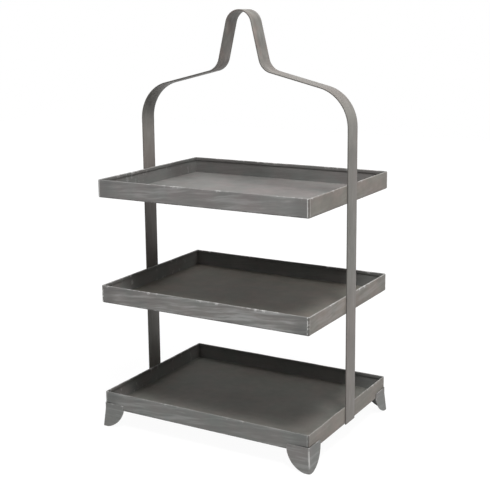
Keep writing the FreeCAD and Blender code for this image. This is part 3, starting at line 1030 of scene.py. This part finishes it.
def folded_foot(node, x_side, y_side):
    """The plate at one corner, which stands for the frame's foot there."""
    points, faces = [], []
    numbers = {"from_fold": [], "from_edge": []}

    def add(column, radius, height):
        (u, v), facing, reach, slide_u, slide_v = column
        splay = FOOT_FLARE * max(0.0, (FOOT_DROP - height) / FOOT_DROP)
        u += radius * math.cos(math.radians(facing)) - splay * slide_u
        v += radius * math.sin(math.radians(facing)) - splay * slide_v
        points.append((x_side * (HALF_WIDTH - u), y_side * (HALF_DEPTH - v), height))
        round_the_fold = (FOLD_RADIUS + FOOT_SHEET) * math.radians(abs(facing - 225))
        numbers["from_fold"].append((round_the_fold + reach - FOLD_RADIUS) / MM)
        edge = min(height - foot_bottom(reach), foot_top(reach) - height, CHEEK_WIDTH - reach)
        numbers["from_edge"].append(max(0.0, edge) / MM)
        return len(points) - 1

    grids = []
    for radius in (FOLD_RADIUS + FOOT_SHEET, FOLD_RADIUS):
        grid = []
        for column in foot_columns():
            low, high = foot_bottom(column[2]), foot_top(column[2])
            heights = [low + (FOOT_DROP - low) * i / ROWS_BELOW for i in range(ROWS_BELOW)]
            heights += [FOOT_DROP + (high - FOOT_DROP) * i / ROWS_ABOVE for i in range(ROWS_ABOVE + 1)]
            grid.append([add(column, radius, height) for height in heights])
        grids.append(grid)

    front, rear = grids
    across, up_rows = len(front), len(front[0])
    for grid in grids:
        for i in range(across - 1):
            for j in range(up_rows - 1):
                faces.append((grid[i][j], grid[i + 1][j], grid[i + 1][j + 1], grid[i][j + 1]))
    for j in (0, up_rows - 1):
        for i in range(across - 1):
            faces.append((front[i][j], front[i + 1][j], rear[i + 1][j], rear[i][j]))
    for i in (0, across - 1):
        for j in range(up_rows - 1):
            faces.append((front[i][j], front[i][j + 1], rear[i][j + 1], rear[i][j]))

    foot = solid_piece("washed_" + node, points, faces, numbers, foot_wash)
    snipped = foot.modifiers.new("snipped_edges", "BEVEL")
    snipped.width = SNIPPED_EDGE
    snipped.segments = 2
    snipped.limit_method = "ANGLE"
    snipped.angle_limit = SNIPPED_FROM
    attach(foot, "root")
    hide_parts(node)


for node, (x_side, y_side) in FEET.items():
    folded_foot(node, x_side, y_side)

# %% [markdown]
# ## Floor, backdrop and light
#
# The stand is shown on a pale floor in a soft white studio.  Two things are kept apart here.
# What the camera and the reflections see is white: the Light Path node picks that out in the
# floor and in the world.  What lights the stand is three soft lamps, a dim sky and the light
# that the floor throws back, all at a plain level, so a colour comes out about as written.

# %% The floor
BOARD = (0.8, 0.8, 0.8)
EYE_WHITE = 1.06                    # what the eye is shown, just past white
SHADOW_SHARE = 0.1                  # share of the board's own shading shown near the stand


def seen_directly(recipe):
    """1 for camera, glossy and transmission rays, and 0 for the rest."""
    path = recipe.node("ShaderNodeLightPath", output="Is Camera Ray")
    total = path + path.other("Is Glossy Ray") + path.other("Is Transmission Ray")
    return recipe.node("ShaderNodeClamp", None, {"Value": total})


def floor_finish():
    """Pale board that throws light back, and reads white with a faint shadow to the eye."""
    material = bpy.data.materials.new("pale_floor")
    material.use_nodes = True
    recipe = Recipe(material.node_tree)
    material.node_tree.nodes.remove(material.node_tree.nodes["Principled BSDF"])
    place = recipe.node("ShaderNodeTexCoord", output="Object")
    away = recipe.node("ShaderNodeVectorMath", {"operation": "LENGTH"}, {0: place}, "Value")
    board = recipe.node("ShaderNodeBsdfDiffuse", None, {"Color": BOARD})
    white = recipe.node("ShaderNodeEmission", None, {"Color": PLAIN, "Strength": EYE_WHITE})
    share = 1 - SHADOW_SHARE + SHADOW_SHARE * recipe.ease(away, 0.35, 0.9)
    faint = recipe.node("ShaderNodeMixShader", None, {"Fac": share, 1: board, 2: white})
    both = recipe.node("ShaderNodeMixShader", None, {"Fac": seen_directly(recipe), 1: board, 2: faint})
    output = material.node_tree.nodes["Material Output"]
    recipe.tree.links.new(both.socket, output.inputs["Surface"])
    return material


FLOOR_REACH = 4.0
FLOOR_LEVEL = -0.2 * MM             # just under the toes, so that no two faces coincide
corners = [(x * FLOOR_REACH, y * FLOOR_REACH, FLOOR_LEVEL)
           for x, y in ((-1, -1), (1, -1), (1, 1), (-1, 1))]
slab = bpy.data.meshes.new("floor")
slab.from_pydata(corners, [], [(0, 1, 2, 3)])
slab.materials.append(floor_finish())
floor = bpy.data.objects.new("floor", slab)
bpy.context.scene.collection.objects.link(floor)
print("floor", 2 * FLOOR_REACH, "m square")

# %% The world: white to look at, with a little light from overhead
SKY_OVERHEAD = 0.42
world = bpy.data.worlds.new("studio")
world.use_nodes = True
bpy.context.scene.world = world
recipe = Recipe(world.node_tree)
direction = recipe.node("ShaderNodeTexCoord", output="Generated")
upwards = recipe.node("ShaderNodeSeparateXYZ", None, {0: direction}, "Z")
sky = SKY_OVERHEAD * recipe.ease(upwards, 0.1, 0.7)
eye = seen_directly(recipe)
strength = sky * (1 - eye) + eye
background = world.node_tree.nodes["Background"]
background.inputs["Color"].default_value = (1.0, 1.0, 1.0, 1.0)
recipe.tree.links.new(strength.socket, background.inputs["Strength"])
print("sky light from 0 at the horizon to", SKY_OVERHEAD, "overhead")

# %% The lamps
LAMPS = {
    # name: (degrees from the front towards +X, degrees up, distance, width, height, watts)
    "key": (42, 58, 2.4, 0.6, 0.6, 48.2),
    "overhead": (0, 90, 2.4, 2.0, 2.0, 19.4),
    "right_fill": (90, 36, 2.6, 1.6, 1.4, 10.2),
}
AIM = Vector((0, 0, 0.33))          # the point that every lamp faces
for name, (azimuth, elevation, distance, width, height, watts) in LAMPS.items():
    turn, lift = math.radians(azimuth), math.radians(elevation)
    towards = Vector((math.sin(turn) * math.cos(lift), -math.cos(turn) * math.cos(lift), math.sin(lift)))
    light = bpy.data.lights.new(name, "AREA")
    light.shape = "RECTANGLE"
    light.size, light.size_y = width, height
    light.energy = watts
    lamp = bpy.data.objects.new(name, light)
    lamp.rotation_euler = towards.to_track_quat("Z", "Y").to_euler()
    lamp.location = AIM + towards * distance
    bpy.context.scene.collection.objects.link(lamp)
bpy.context.scene.view_settings.view_transform = "Standard"
print("lamps:", ", ".join(LAMPS))
